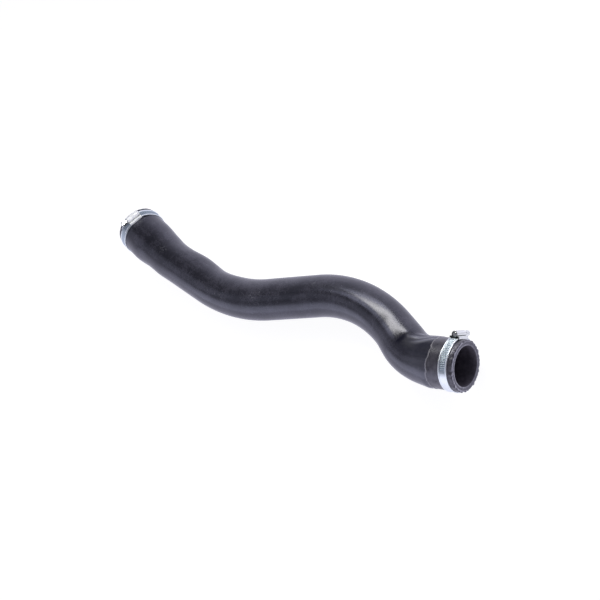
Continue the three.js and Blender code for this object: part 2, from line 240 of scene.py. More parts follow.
# Painted light: bore tones paler than the outer skin, standing in for light that hardly reaches inside
BORE_FILL_DARK = (0.06, 0.054, 0.068)
BORE_FILL_LIGHT = (0.11, 0.10, 0.12)
NOISE_RANGE = (0.3, 0.7)
EDGE_RANGE = (0.08, 0.5)
CLOTH_SLANT = 45 * DEG
CLOTH_SCALE = 260
STREAK_SLANT = 8 * DEG

# Rubbed patches of the hose: place from the rear mouth, angle from the top, reach, strength
SCRATCH = [((184 + 5 * k) * MM, (-8 - 1.2 * k) * DEG, 2.6 * MM, 0.55) for k in range(8)]
SCUFFS = SCRATCH + [
    (224 * MM, -18 * DEG, 6 * MM, 0.9),
    (280 * MM, -4 * DEG, 12 * MM, 0.6),
    (291 * MM, 5 * DEG, 7 * MM, 0.7),
    (90 * MM, 16 * DEG, 11 * MM, 0.55),
    (380 * MM, 20 * DEG, 5 * MM, 0.7),
    (412 * MM, 1 * DEG, 5 * MM, 0.6),
]

# Plate tones, and painted shade in the band's floor and grooves and in the housing's creases
PLATE_DARK = (0.87, 0.93, 0.95)
PLATE_LIGHT = (0.96, 1.0, 1.0)
# Painted shade: the band's floor between its lips, and its pressed grooves
BAND_FLOOR_SHADE = (0.50, 0.57, 0.62)
GROOVE_SHADE = (0.24, 0.30, 0.34)
# Painted shade in the housing's creases
CREASE_SHADE_TONE = (0.10, 0.11, 0.11)
BAND_FLOOR_FADE = 0.7 * MM
THREAD_LOOK_FADE = (-6 * MM, 2 * MM)
CREASE_SHADE_FADE = (1.2 * MM, 0.4 * MM)

# Floor and surroundings
WHITE = (1, 1, 1)
SURROUNDINGS_TINT = (0.89, 0.88, 1.05)
FLOOR_SIZE = 6.0
FLOOR_TONE = (0.36, 0.36, 0.36)
FLOOR_GLOW = 0.9
FLOOR_REFLECTED = 0.95
HORIZON_LEVEL = 0.95
ZENITH_LEVEL = 0.15
ZENITH_START = 0.74

# Lamps, placed from the point under the front mouth. Those beside the key lamp face the way it does:
# name, place, size, brightness
WARM = (1.0, 0.98, 0.88)
COOL = (0.82, 0.84, 1.0)
LIT_ELBOW = Vector((-0.120, 0.066, 0.06))
KEY_PLACE = Vector((-0.223, 0.409, 0.384))
KEY_SIDE = (-0.735, -0.602, 0.312)
KEY_EDGE_PLACE = Vector((-0.034, 0.564, 0.304))
BESIDE_KEY = [
    ("key_fade", (-0.304, 0.429, 0.327), (0.38, 0.08), 2.4),
    ("key_halo", (-0.467, 0.209, 0.488), (0.20, 0.12), 2.0),
    ("far_halo", (-1.016, -0.180, 0.685), (0.8, 0.7), 0.28),
]
SPOT_PLACE = Vector((-0.385, 0.278, 0.509))
SPOT_AIM = Vector((-0.579, 0.141, 0.069))
SPOT_REACH = 26 * MM
SPOT_SOFTNESS = 12 * MM
LOW_PLACE = Vector((-1.0, -1.33, 0.35))
LOW_AIM = (0, 0, 0.03)
LOW_SIDE = (1, -0.5, 0)

# Sizes that follow from the ones above
band_inner = CUFF_RADIUS + SEAT_GAP
band_outer = band_inner + BAND_THICKNESS + BAND_LIP_HEIGHT
overlap_inner = band_outer + SEAT_GAP
overlap_base = overlap_inner + BAND_THICKNESS
overlap_outer = overlap_base + BAND_LIP_HEIGHT
screw_height = overlap_base + SEAT_GAP + SCREW_RADIUS
screw_bore = SCREW_RADIUS + SEAT_GAP
housing_end = HOUSING_LENGTH / 2
housing_shoulder = overlap_outer + SEAT_GAP + HOUSING_WALL
barrel_radius = screw_bore + HOUSING_WALL
barrel_spring = math.asin((housing_shoulder - screw_height) / barrel_radius)
crease_across = barrel_radius * math.cos(barrel_spring)
lip_inner = BAND_WIDTH / 2 - BAND_LIP_WIDTH
collar_start = housing_end + SEAT_GAP
collar_end = collar_start + COLLAR_LENGTH

# Angles round the cuff, from the housing's middle, of the band's ends and of its thread and ramp
per_length = 1 / overlap_inner
ramp_end = -housing_end * per_length
ramp_start = ramp_end - BAND_RAMP_LENGTH * per_length
thread_start = ramp_end - THREADED_LENGTH * per_length
fixed_end = -2 * math.pi - (housing_end - BAND_END_INSET) * per_length
tail_end = housing_end * per_length + BAND_TAIL * per_length

# The photograph's camera: its place from the point under the front mouth, and its directions
CAMERA_PLACE = Vector((0.9904, -0.2518, 1.6090))
CAMERA_RIGHT = Vector((0.78016, 0.23539, -0.57960))
CAMERA_UP = Vector((-0.09410, 0.96012, 0.26326))
LENS_MM = 93
SENSOR_MM = 36


# Numbers

def ease(x, start, end):
    """A value that moves smoothly from 0 to 1 as x goes from start to end"""
    share = np.clip((x - start) / (end - start), 0, 1)
    return share * share * (3 - 2 * share)


def smooth_profile(knots, place):
    """A radius along the hose that passes smoothly through knots of (place, radius)"""
    radius = np.full(np.shape(place), knots[0][1])
    for (start, before), (end, after) in zip(knots, knots[1:]):
        radius = radius + (after - before) * ease(place, start, end)
    return radius


def bump_shape(distance, width):
    """1 at no distance, falling to nothing over about two widths"""
    return np.exp(-((distance / width) ** 2))


def even_turns(sides):
    return 2 * math.pi * np.arange(sides) / sides


def wave_sum(waves, angle):
    return sum(share * np.sin(count * angle + phase) for share, count, phase in waves)


def steps_between(start, end, step):
    """Places from start up to but not including end, one each step or closer"""
    count = max(1, math.ceil((end - start) / step))
    return start + (end - start) * np.arange(count) / count


# Meshes

def ring_faces(rings, sides, wrap_rings=False):
    """The four-sided faces of a surface made of rings, each with the same number of points"""
    last = rings if wrap_rings else rings - 1
    i = np.arange(last)[:, None]
    k = np.arange(sides)[None, :]
    j = (i + 1) % rings
    m = (k + 1) % sides
    quads = np.stack([i * sides + k, j * sides + k, j * sides + m, i * sides + m], -1)
    return quads.reshape(-1, 4)


def tube_faces(rings, sides):
    """The faces of a tube made of rings and closed at both ends"""
    ends = [list(range(sides)), [(rings - 1) * sides + k for k in range(sides)]]
    return ring_faces(rings, sides).tolist() + ends


def bridge(cage, loops):
    """Four-sided faces between each loop of points and the next"""
    for before, after in zip(loops, loops[1:]):
        for k, point in enumerate(before):
            m = (k + 1) % len(before)
            cage.faces.new((point, before[m], after[m], after[k]))


@contextlib.contextmanager
def edited(mesh):
    """The points and faces of a mesh, which keeps what is changed in them"""
    cage = bmesh.new()
    cage.from_mesh(mesh)
    yield cage
    cage.to_mesh(mesh)
    cage.free()


def add_piece(name, points, faces, materials, face_materials=None):
    """A smooth-shaded mesh object whose faces point outwards"""
    mesh = bpy.data.meshes.new(name)
    mesh.from_pydata(np.asarray(points).reshape(-1, 3).tolist(), [], [list(f) for f in faces])
    for material in materials:
        mesh.materials.append(material)
    if face_materials is not None:
        mesh.polygons.foreach_set("material_index", face_materials)
    mesh.polygons.foreach_set("use_smooth", np.ones(len(mesh.polygons), bool))
    face_outwards(mesh)
    return add_object(name, mesh)


def add_object(name, data):
    made = bpy.data.objects.new(name, data)
    bpy.context.scene.collection.objects.link(made)
    return made


def face_outwards(mesh):
    with edited(mesh) as cage:
        bmesh.ops.recalc_face_normals(cage, faces=cage.faces)
        if cage.calc_volume(signed=True) < 0:
            bmesh.ops.reverse_faces(cage, faces=cage.faces)
    mesh.update()


# Centre line

class CentreLine:
    """Straight legs joined by arcs, measured from the rear mouth"""

    def __init__(self, corners):
        self.legs = []
        self.length = 0.0
        points = [np.array(corner[:3]) for corner in corners]
        at = points[0]
        for before, corner, after, (*_, radius) in zip(points, points[1:], points[2:], corners[1:]):
            back = unit(before - corner)
            ahead = unit(after - corner)
            turn = math.pi - math.acos(back @ ahead)
            reach = radius * math.tan(turn / 2)
            start = corner + back * reach
            centre = corner + unit(back + ahead) * radius / math.cos(turn / 2)
            self.add_leg(np.linalg.norm(start - at), at, -back)
            self.add_leg(radius * turn, centre, -back, (start - centre) / radius, radius)
            at = corner + ahead * reach
        self.add_leg(np.linalg.norm(points[-1] - at), at, unit(points[-1] - at))

    def add_leg(self, length, origin, heading, spoke=None, radius=0.0):
        self.legs.append((self.length, origin, heading, spoke, radius))
        self.length += length

    def frames(self, place):
        """Point, tangent, left side and upper side at each place"""
        place = np.asarray(place, float)
        point = np.zeros(place.shape + (3,))
        tangent = np.zeros(place.shape + (3,))
        for number, (start, origin, heading, spoke, radius) in enumerate(self.legs):
            here = place >= start if number else np.ones(place.shape, bool)
            along = (place - start)[here][:, None]
            if spoke is None:
                point[here] = origin + heading * along
                tangent[here] = heading
            else:
                angle = along / radius
                point[here] = origin + radius * (spoke * np.cos(angle) + heading * np.sin(angle))
                tangent[here] = heading * np.cos(angle) - spoke * np.sin(angle)
        left = np.cross(UP, tangent)
        left /= np.linalg.norm(left, axis=-1, keepdims=True)
        return point, tangent, left, np.cross(tangent, left)


def unit(vector):
    return vector / np.linalg.norm(vector)


def centre_line(mouth):
    """The hose's centre line in the part's frame, where mouth is the point under the front mouth"""
    return CentreLine([(x + mouth.x, y + mouth.y, z, radius) for x, y, z, radius in CENTRE_LINE])


# Hose

def outer_radius(place, length):
    elbow_end = length - ELBOW_START
    elbow_start = elbow_end - ELBOW_LENGTH
    ply_edge = length - FRONT_PLY_LENGTH
    knots = [
        (REAR_CUFF_LENGTH, CUFF_RADIUS),
        (REAR_CUFF_LENGTH + REAR_TAPER_LENGTH, MIDDLE_RADIUS),
        (elbow_start - ELBOW_TAPER_LENGTH, MIDDLE_RADIUS),
        (elbow_start, ELBOW_RADIUS),
        (elbow_end, ELBOW_RADIUS),
        (ply_edge - PLY_EDGE_WIDTH / 2, CUFF_RADIUS - PLY_THICKNESS),
        (ply_edge + PLY_EDGE_WIDTH / 2, CUFF_RADIUS),
    ]
    return smooth_profile(knots, place)


def bore_radius(place, length):
    bore_end = length - FRONT_BORE_DEPTH
    knots = [
        (REAR_BORE_DEPTH, CUFF_BORE_RADIUS),
        (REAR_BORE_DEPTH + BORE_TAPER_LENGTH, MIDDLE_BORE_RADIUS),
        (bore_end - BORE_TAPER_LENGTH, MIDDLE_BORE_RADIUS),
        (bore_end, CUFF_BORE_RADIUS),
    ]
    return smooth_profile(knots, place)


def fold_height(place, angle):
    """The soft folds on the inner side of the rear bend"""
    sideways = np.clip(np.abs(angle - math.pi / 2) / FOLD_SPREAD, 0, 1)
    spread = np.cos(sideways * math.pi / 2) ** 2
    return spread * sum(h * bump_shape(place - at, reach) for at, h, reach in INNER_SIDE_FOLDS)


def ridge_height(back, angle):
    """The ridges on the inner side of the front elbow, which run into the ply edge"""
    height = np.zeros(np.shape(back))
    for edge_angle, tall, reach in ELBOW_RIDGES:
        sideways = (angle - edge_angle + RIDGE_TWIST * back) * CUFF_RADIUS
        along = ease(back, reach + RIDGE_FADE, reach - RIDGE_FADE) * ease(back, *RIDGE_END)
        height = height + tall * bump_shape(sideways, RIDGE_WIDTH) * along
    return height


def hollow_depth(back, angle):
    sideways = (angle - HOLLOW_ANGLE) * ELBOW_RADIUS
    start = HOLLOW_BACK + HOLLOW_FALL / 2
    fall = ease(back, start, start - HOLLOW_FALL)
    rise = np.clip(back / HOLLOW_BACK, 0, 1)
    return HOLLOW_DEPTH * fall * rise * bump_shape(sideways, HOLLOW_WIDTH)


def dull_and_shade_share(back, angle):
    """How dull the skin is on the elbow's top, and how much shade is painted there, from 0 to 1"""
    along = ease(back, HOLLOW_BACK + DULL_SHADE_FADE, HOLLOW_BACK) * ease(back, *DULL_SHADE_END)
    return along * ease(angle, *DULL_SHADE_LEFT) * ease(angle, *DULL_SHADE_RIGHT)


def pale_and_highlight_share(back, angle):
    """How pale the skin is near the ply edge, and how strong the painted highlight on the ridges is, from 0
    to 1
    """
    near = ease(back, PALE_START, PALE_FULL) * (1 - dull_and_shade_share(back, angle))
    return np.maximum(PALE_NEAR * near, ridge_height(back, angle) / RIDGE_HIGHLIGHT_HEIGHT)


def swell_height(from_mouth, angle, swells):
    return sum(
        tall * bump_shape(from_mouth - at, reach) * bump_shape(angle - side, spread)
        for at, side, tall, reach, spread in swells
    )


def lean_height(place, angle):
    return REAR_LEAN * np.sin(angle) * bump_shape(place - REAR_LEAN_PLACE, REAR_LEAN_LENGTH)


def ply_bead(back, angle):
    """The raised lip of the ply edge, thicker in some places than in others, from 0 to 1"""
    share, slow, quick = PLY_BEAD_PATCHES
    patchy = 1 - share + share * np.sin(slow * angle + 1) * np.sin(quick * angle)
    return patchy * bump_shape(back, PLY_BEAD_WIDTH)


def ripple_height(place, angle):
    """Shallow waves of the moulded wall, longer along the hose than round it"""
    random = np.random.default_rng(RIPPLE_SEED)
    height = np.zeros(np.shape(place))
    for _ in range(RIPPLE_COUNT):
        lobes = random.integers(1, RIPPLE_LOBES + 1)
        wave = RIPPLE_WAVE * random.uniform(1, 5)
        phase = random.uniform(0, 2 * math.pi)
        height = height + np.sin(2 * math.pi * place / wave + lobes * angle + phase) / lobes
    return RIPPLE_HEIGHT * height / math.sqrt(RIPPLE_COUNT)


def scallop_height(from_mouth, angle):
    """The uneven rim that the wrapping left near a mouth"""
    return SCALLOP_HEIGHT * wave_sum(SCALLOPS, angle) * ease(from_mouth, SCALLOP_REACH, 0)


def squeeze_height(place, length):
    """Rubber that each band pushes up on both of its sides"""
    rear = REAR_CLAMP["lip"]
    front = length - FRONT_CLAMP["lip"]
    edges = [rear, rear + BAND_WIDTH, front - BAND_WIDTH, front]
    return sum(BAND_SQUEEZE * bump_shape(place - edge, SQUEEZE_REACH) for edge in edges)


def ply_shift(back, angle):
    """The uneven run of the ply edge round the cuff, and how far along the hose it pulls the mesh"""
    nearness = 1 - np.abs(back) / PLY_WAVE_REACH
    return PLY_EDGE_WAVE * wave_sum(PLY_WAVES, angle) * np.clip(nearness, 0, 1)


def outer_surface(length, angle):
    """Places and radii of the outside between the two mouths"""
    ply_edge = length - FRONT_PLY_LENGTH
    place = np.concatenate([
        steps_between(LIP_ROUND, MOUTH_REACH, 2 * FINE_STEP),
        steps_between(MOUTH_REACH, ply_edge - ELBOW_REACH, HOSE_STEP),
        steps_between(ply_edge - ELBOW_REACH, ply_edge - EDGE_REACH, 3 * FINE_STEP),
        steps_between(ply_edge - EDGE_REACH, ply_edge + EDGE_REACH, FINE_STEP),
        steps_between(ply_edge + EDGE_REACH, length - LIP_ROUND, 3 * FINE_STEP),
    ])
    place, angle = np.meshgrid(place, angle, indexing="ij")
    radius = outer_radius(place, length)
    radius += fold_height(place, angle)
    radius += lean_height(place, angle)
    radius += swell_height(place, angle, REAR_SWELLS) + swell_height(length - place, angle, FRONT_SWELLS)
    back = ply_edge - place
    radius += ridge_height(back, angle) - hollow_depth(back, angle)
    radius += PLY_BEAD_HEIGHT * ply_bead(back, angle)
    radius += ripple_height(place, angle)
    radius += scallop_height(length - place, angle)
    radius += REAR_SCALLOP_SHARE * scallop_height(place, angle)
    radius += squeeze_height(place, length)
    return place, radius


def rim_highlight_share(radius, angle):
    """How strong the painted highlight on the edges of an end face is, from 0 to 1: less so on the underside
    """
    outer_start = CUFF_RADIUS - LIP_ROUND
    inner_end = CUFF_BORE_RADIUS + BORE_CHAMFER
    outer = ease(radius, outer_start - RIM_FADE, outer_start)
    inner = ease(radius, inner_end + RIM_FADE, inner_end)
    highlighted = ease(np.abs(angle - RIM_HIGHLIGHT_MIDDLE), *RIM_HIGHLIGHT_FADE)
    return np.maximum(outer, inner) * (RIM_HIGHLIGHT_LEAST + (1 - RIM_HIGHLIGHT_LEAST) * highlighted)


def lip_surface(length, angle, at_front):
    """The rounded outer corner of an end face and its bore chamfer, from the outside in"""
    turn = np.linspace(0, math.pi / 2, LIP_STEPS + 1)
    face_inner = CUFF_RADIUS - CUFF_BORE_RADIUS - BORE_CHAMFER
    chamfer_middle = BORE_CHAMFER / 2
    inward = np.concatenate([LIP_ROUND * (1 - np.sin(turn)), [0, 0, 0, chamfer_middle]])
    face = [*FACE_RINGS, face_inner, face_inner + chamfer_middle]
    depth = np.concatenate([LIP_ROUND * (1 - np.cos(turn)), face])
    inward, angle = np.meshgrid(inward, angle, indexing="ij")
    depth = depth[:, None] + np.zeros(angle.shape)
    place = length - inward if at_front else inward
    faded = ease(depth, face_inner, 0)
    scallops = scallop_height(inward, angle) * (1 if at_front else REAR_SCALLOP_SHARE)
    radius = CUFF_RADIUS - depth + scallops * faded
    radius += ripple_height(place, angle) * faded
    return place, radius


def bore_surface(length, angle):
    place = np.concatenate([
        [length - BORE_CHAMFER],
        steps_between(BORE_FIRST_RING, length - BORE_FIRST_RING, BORE_STEP)[::-1],
        [BORE_CHAMFER],
    ])
    place, angle = np.meshgrid(place, angle, indexing="ij")
    radius = bore_radius(place, length) + fold_height(place, angle)
    return place, radius + ripple_height(place, angle)


def ring_materials(rings, ply):
    """The material of each ring of faces: 0 for the hose, 1 for its outer ply, 2 sawn ends, 3 bore"""
    bore_start = rings[0] + rings[1] - 1
    material = np.where(ply, 1, 0)
    material[rings[0] + LIP_STEPS - 2:] = 2
    material[bore_start:] = 3
    material[bore_start + rings[2]:] = 2
    material[-LIP_STEPS:] = 0
    return material


def material_marks(back, radius, angles, face_start):
    """What the materials read at each point: dull share with painted shade, ply edge share, and paler skin
    with a painted highlight on the ridges, or a painted highlight on the rims
    """
    skin = pale_and_highlight_share(back[:face_start], angles[:face_start])
    rim = rim_highlight_share(radius[face_start:], angles[face_start:])
    last = np.concatenate([skin, rim])
    return np.stack([dull_and_shade_share(back, angles), ply_bead(back, angles), last], -1)


def hose_piece(line, materials):
    """The hose: outside, front face, bore and rear face in one closed surface"""
    length = line.length
    angle = even_turns(HOSE_SIDES)
    angle = np.where(angle > math.pi, angle - 2 * math.pi, angle)
    parts = [
        outer_surface(length, angle),
        lip_surface(length, angle, at_front=True),
        bore_surface(length, angle),
        [rows[::-1] for rows in lip_surface(length, angle, at_front=False)],
    ]
    rings = [len(part[0]) for part in parts]
    place = np.concatenate([part[0] for part in parts])
    radius = np.concatenate([part[1] for part in parts])
    angles = np.broadcast_to(angle, place.shape)
    back = length - FRONT_PLY_LENGTH - place
    marks = material_marks(back, radius, angles, rings[0] + LIP_STEPS - 2)
    ring_material = ring_materials(rings, back[:, 0] < 0)
    place = place + ply_shift(back, angles)
    point, _, left, upper = line.frames(place)
    up = radius * np.cos(angles)
    aside = radius * np.sin(angles)
    points = point + upper * up[..., None] + left * aside[..., None]
    faces = ring_faces(len(place), HOSE_SIDES, wrap_rings=True)
    piece = add_piece("hose", points, faces, materials, np.repeat(ring_material, HOSE_SIDES))
    store_vector(piece, "hose_space", np.stack([place, up, aside], -1))
    store_vector(piece, "hose_marks", marks)
    return piece


def store_vector(piece, name, values):
    """Keeps a vector for each point of a mesh, for its materials to read"""
    attribute = piece.data.attributes.new(name, "FLOAT_VECTOR", "POINT")
    attribute.data.foreach_set("vector", np.asarray(values, np.float32).ravel())


# Clamp band, in the clamp's own frame: X along the cuff's axis, Z to the housing's middle

def band_section():
    """The band's section as (across, height, how far it is part of the grooved floor)"""
    edge = BAND_WIDTH / 2
    lip_top = BAND_THICKNESS + BAND_LIP_HEIGHT
    floor_edge = lip_inner - BAND_LIP_SLOPE
    groove_edge = floor_edge - THREAD_MARGIN
    turn = np.linspace(0, math.pi / 2, BAND_SECTION_STEPS)
    corner = np.stack([np.cos(turn), np.sin(turn)], -1) * BAND_EDGE_ROUND
    outer_corner = np.array([edge, lip_top]) - BAND_EDGE_ROUND + corner
    inner_corner = np.array([lip_inner, lip_top]) - BAND_EDGE_ROUND + corner[::-1] * [-1, 1]
    inner_corner[:, 0] += BAND_EDGE_ROUND
    right = [(edge, 0, 0), (edge, BAND_THICKNESS / 2, 0)]
    right += [(x, z, 0) for x, z in [*outer_corner, *inner_corner]]
    right += [(floor_edge, BAND_THICKNESS, 0), (floor_edge - THREAD_MARGIN / 2, BAND_THICKNESS, 0)]
    right += [(x, BAND_THICKNESS, 1) for x in np.linspace(groove_edge, GROOVE_MIDDLE, BAND_SECTION_STEPS)]
    left = [(-x, z, grooved) for x, z, grooved in reversed(right)]
    return np.array(right + [(0, BAND_THICKNESS, 1)] + left)


def groove_share(turned, across):
    """How deep the pressed thread is, from 0 to 1, at an arc length past its start and a place across"""
    phase = (turned - across * math.tan(THREAD_SLANT)) / THREAD_PITCH
    groove = 0.5 - 0.5 * np.cos(2 * math.pi * phase)
    last = (tail_end - thread_start) * overlap_inner - BAND_TIP_LENGTH
    ends = ease(turned, 0, THREAD_PITCH) * ease(turned, last, last - THREAD_PITCH)
    return groove ** GROOVE_ROUNDNESS * ends


def band_piece(name, material):
    turn = np.concatenate([
        steps_between(fixed_end, thread_start, BAND_STEP / band_inner),
        steps_between(thread_start, tail_end, THREAD_STEP / overlap_inner),
        [tail_end],
    ])[:, None]
    section = band_section()
    across = section[:, 0][None, :]
    height = section[:, 1][None, :]
    lift = ease(turn, ramp_start, ramp_end)
    inner = band_inner + (overlap_inner - band_inner) * lift
    turned = (turn - thread_start) * overlap_inner
    groove = section[:, 2][None, :] * groove_share(turned, across)
    height = height - THREAD_DEPTH * groove
    to_tip = (tail_end - turn) * overlap_inner
    rounding = np.sqrt(np.clip(1 - (1 - to_tip / BAND_TIP_LENGTH).clip(0, 1) ** 2, 0, 1))
    across = across * (BAND_TAIL_TIP + (1 - BAND_TAIL_TIP) * rounding)
    radius = inner + height
    points = np.stack([across + 0 * radius, radius * np.sin(turn), radius * np.cos(turn)], -1)
    piece = add_piece(name, points, tube_faces(len(turn), len(section)), [material])
    store_vector(piece, "band_space", np.stack([turned + 0 * radius, across + 0 * radius, groove], -1))
    return piece


# Clamp housing: one pressed sheet over the band, with a barrel for the screw and an end wall

def housing_sheet():
    """The sheet's outer line from one foot to the other, as (across, height, outward x, outward z)"""
    half_width = BAND_WIDTH / 2 + SEAT_GAP + HOUSING_WALL
    foot = CUFF_RADIUS + SEAT_GAP
    corner_height = housing_shoulder - HOUSING_CORNER
    line = [(half_width, foot, 1, 0), (half_width, (foot + corner_height) / 2, 1, 0)]
    for turn in np.linspace(0, math.pi / 2, HOUSING_CORNER_STEPS):
        out_x, out_z = math.cos(turn), math.sin(turn)
        x = half_width - HOUSING_CORNER + HOUSING_CORNER * out_x
        line.append((x, corner_height + HOUSING_CORNER * out_z, out_x, out_z))
    mirrored = [(-x, z, -out_x, out_z) for x, z, out_x, out_z in reversed(line)]
    line.append((crease_across + BARREL_FOOT, housing_shoulder, 0, 1))
    for turn in np.linspace(barrel_spring, math.pi - barrel_spring, BARREL_STEPS):
        out_x, out_z = math.cos(turn), math.sin(turn)
        line.append((barrel_radius * out_x, screw_height + barrel_radius * out_z, out_x, out_z))
    line.append((-crease_across - BARREL_FOOT, housing_shoulder, 0, 1))
    return np.array(line + mirrored)


def housing_piece(name, material):
    outer = housing_sheet()
    inner = outer[:, :2] - HOUSING_WALL * outer[:, 2:]
    section = np.concatenate([outer[:, :2], inner[::-1]])
    along = np.array([-housing_end, housing_end])
    points = [[x, y, z] for y in along for x, z in section]
    sides = len(section)
    faces = ring_faces(2, sides).tolist()
    quads = [[k, k + 1, sides - 2 - k, sides - 1 - k] for k in range(sides // 2 - 1)]
    faces += quads + [[corner + sides for corner in quad] for quad in quads]
    piece = add_piece(name, points, faces, [material])
    add_end_wall(piece)
    soften_edges(piece, HOUSING_EDGE_ROUND, segments=3)
    return piece


def add_end_wall(piece):
    """A disc with a hole for the screw's neck, which closes the barrel at +Y"""
    turn = even_turns(END_WALL_SIDES)
    hole = NECK_RADIUS + SEAT_GAP
    disc = screw_bore + HOUSING_WALL / 2
    rings = [(disc, housing_end), (hole, housing_end)]
    rings += [(hole, housing_end - HOUSING_END_WALL), (disc, housing_end - HOUSING_END_WALL)]
    with edited(piece.data) as cage:
        loops = [
            [cage.verts.new((r * math.cos(t), y, screw_height + r * math.sin(t))) for t in turn]
            for r, y in rings
        ]
        bridge(cage, loops + loops[:1])
        bmesh.ops.recalc_face_normals(cage, faces=cage.faces)


def soften_edges(piece, width, segments):
    """Rounds a piece's sharp edges and keeps its curved faces smooth"""
    bevel = piece.modifiers.new("rounded_edges", "BEVEL")
    bevel.width = width
    bevel.segments = segments
    bevel.limit_method = "ANGLE"
    bevel.angle_limit = SMOOTH_UP_TO
    bevel.harden_normals = True


# Clamp screw, along Y at its own axis

def worm_radius(along, around):
    """A right-hand thread: a rounded crest that winds along the worm"""
    phase = along / THREAD_PITCH - around / (2 * math.pi)
    crest = np.clip(0.5 + WORM_CREST * np.cos(2 * math.pi * phase), 0, 1)
    return SCREW_RADIUS - WORM_DEPTH * (1 - crest)


def screw_rows():
    """The screw's rings from its tip to its collar's end, as (radius, place): None is the worm's radius"""
    worm_end = housing_end - HOUSING_END_WALL - SEAT_GAP
    tip = -housing_end - SEAT_GAP
    root = SCREW_RADIUS - WORM_DEPTH
    worm = np.arange(tip + SCREW_TIP_CHAMFER, worm_end, THREAD_PITCH / WORM_STEPS)
    return [
        (SCREW_CENTRE, tip),
        (root - SCREW_TIP_CHAMFER / 2, tip),
        *((None, place) for place in worm),
        (root, worm_end),
        (NECK_RADIUS, worm_end),
        (NECK_RADIUS, collar_start),
        (COLLAR_RADIUS - COLLAR_ROUND, collar_start),
        (COLLAR_RADIUS, collar_start + COLLAR_ROUND),
        (COLLAR_RADIUS, collar_end - COLLAR_ROUND),
        (COLLAR_RADIUS - COLLAR_ROUND, collar_end),
        (SCREW_CENTRE, collar_end),
    ]


def screw_piece(name, material):
    around = even_turns(SCREW_SIDES)
    rows = screw_rows()
    points = []
    for radius, y in rows:
        ring = worm_radius(y, around) if radius is None else radius + 0 * around
        points += [[r * math.sin(t), y, r * math.cos(t)] for r, t in zip(ring, around)]
    shank = add_piece(name, points, tube_faces(len(rows), SCREW_SIDES), [material])
    shank.data.set_sharp_from_angle(angle=SMOOTH_UP_TO)
    join_into(shank, screw_head(material))
    return shank


def screw_head(material):
    """A hexagon with a chamfered rim and a slot across its end"""
    corner = HEAD_ACROSS_FLATS / math.sqrt(3)
    root = collar_end - COLLAR_LENGTH / 2
    end = collar_end + HEAD_LENGTH
    rings = [(corner, root), (corner, end - HEAD_CHAMFER), (corner - HEAD_CHAMFER, end)]
    mesh = bpy.data.meshes.new("head")
    with edited(mesh) as cage:
        loops = [
            [cage.verts.new((r * math.sin(t), y, r * math.cos(t))) for t in even_turns(6)]
            for r, y in rings
        ]
        bridge(cage, loops)
        cage.faces.new(loops[0])
        cage.faces.new(loops[-1])
    mesh.materials.append(material)
    face_outwards(mesh)
    head = add_object("head", mesh)
    cut_slot(head, end)
    soften_edges(head, HEAD_EDGE_ROUND, segments=2)
    apply_modifiers(head)
    return head


def cut_slot(head, end):
    mesh = bpy.data.meshes.new("slot_cutter")
    with edited(mesh) as cage:
        bmesh.ops.create_cube(cage, size=1)
    cutter = add_object("slot_cutter", mesh)
    size = Matrix.Diagonal((SLOT_WIDTH, 2 * SLOT_DEPTH, 4 * COLLAR_RADIUS, 1))
    mesh.transform(Matrix.Translation((0, end, 0)) @ size)
    boolean = head.modifiers.new("slot", "BOOLEAN")
    boolean.operation = "DIFFERENCE"
    boolean.solver = "EXACT"
    boolean.object = cutter
    apply_modifiers(head)
    bpy.data.objects.remove(cutter)


def apply_modifiers(piece):
    """Bakes a piece's modifiers into its mesh"""
    bpy.context.view_layer.update()
    evaluated = piece.evaluated_get(bpy.context.evaluated_depsgraph_get())
    mesh = bpy.data.meshes.new_from_object(evaluated)
    piece.modifiers.clear()
    piece.data = mesh


def join_into(target, other):
    with edited(target.data) as cage:
        cage.from_mesh(other.data)
    bpy.data.objects.remove(other)


def clamp_matrix(point, outward, turn):
    """The clamp's frame in the part's: X out of the mouth, housing turned round it from the top"""
    side = np.cross(UP, outward)
    basis = Matrix([list(row) for row in zip(outward, side, UP)]).to_4x4()
    return Matrix.Translation(Vector(point)) @ basis @ Matrix.Rotation(turn, 4, "X")


def add_clamp(line, clamp, at_front, strip_plate, sheet_plate, screw_plate):
    from_mouth = clamp["lip"] + BAND_WIDTH / 2
    place = line.length - from_mouth if at_front else from_mouth
    point, tangent, _, _ = line.frames(place)
    outward = tangent if at_front else -tangent
    matrix = clamp_matrix(point, outward, clamp["turn"])
    prefix = clamp["prefix"]
    band = band_piece(f"{prefix}_band", strip_plate)
    housing = housing_piece(f"{prefix}_housing", sheet_plate)
    screw = screw_piece(f"{prefix}_screw_detail", screw_plate)
    screw.data.transform(Matrix.Translation((0, 0, screw_height)))
    dressed = [
        (band, f"{prefix}_clamp_band", "hose", "clamp_plate"),
        (housing, f"{prefix}_clamp_housing", "hose", "clamp_plate"),
        (screw, f"{prefix}_clamp_screw", f"{prefix}_screw", "screw_plate"),
    ]
    for piece, node, body, slot in dressed:
        store_vector(piece, "clamp_space", [corner.co for corner in piece.data.vertices])
        piece.data.transform(matrix)
        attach(piece, body)
        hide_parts(node)


# Materials

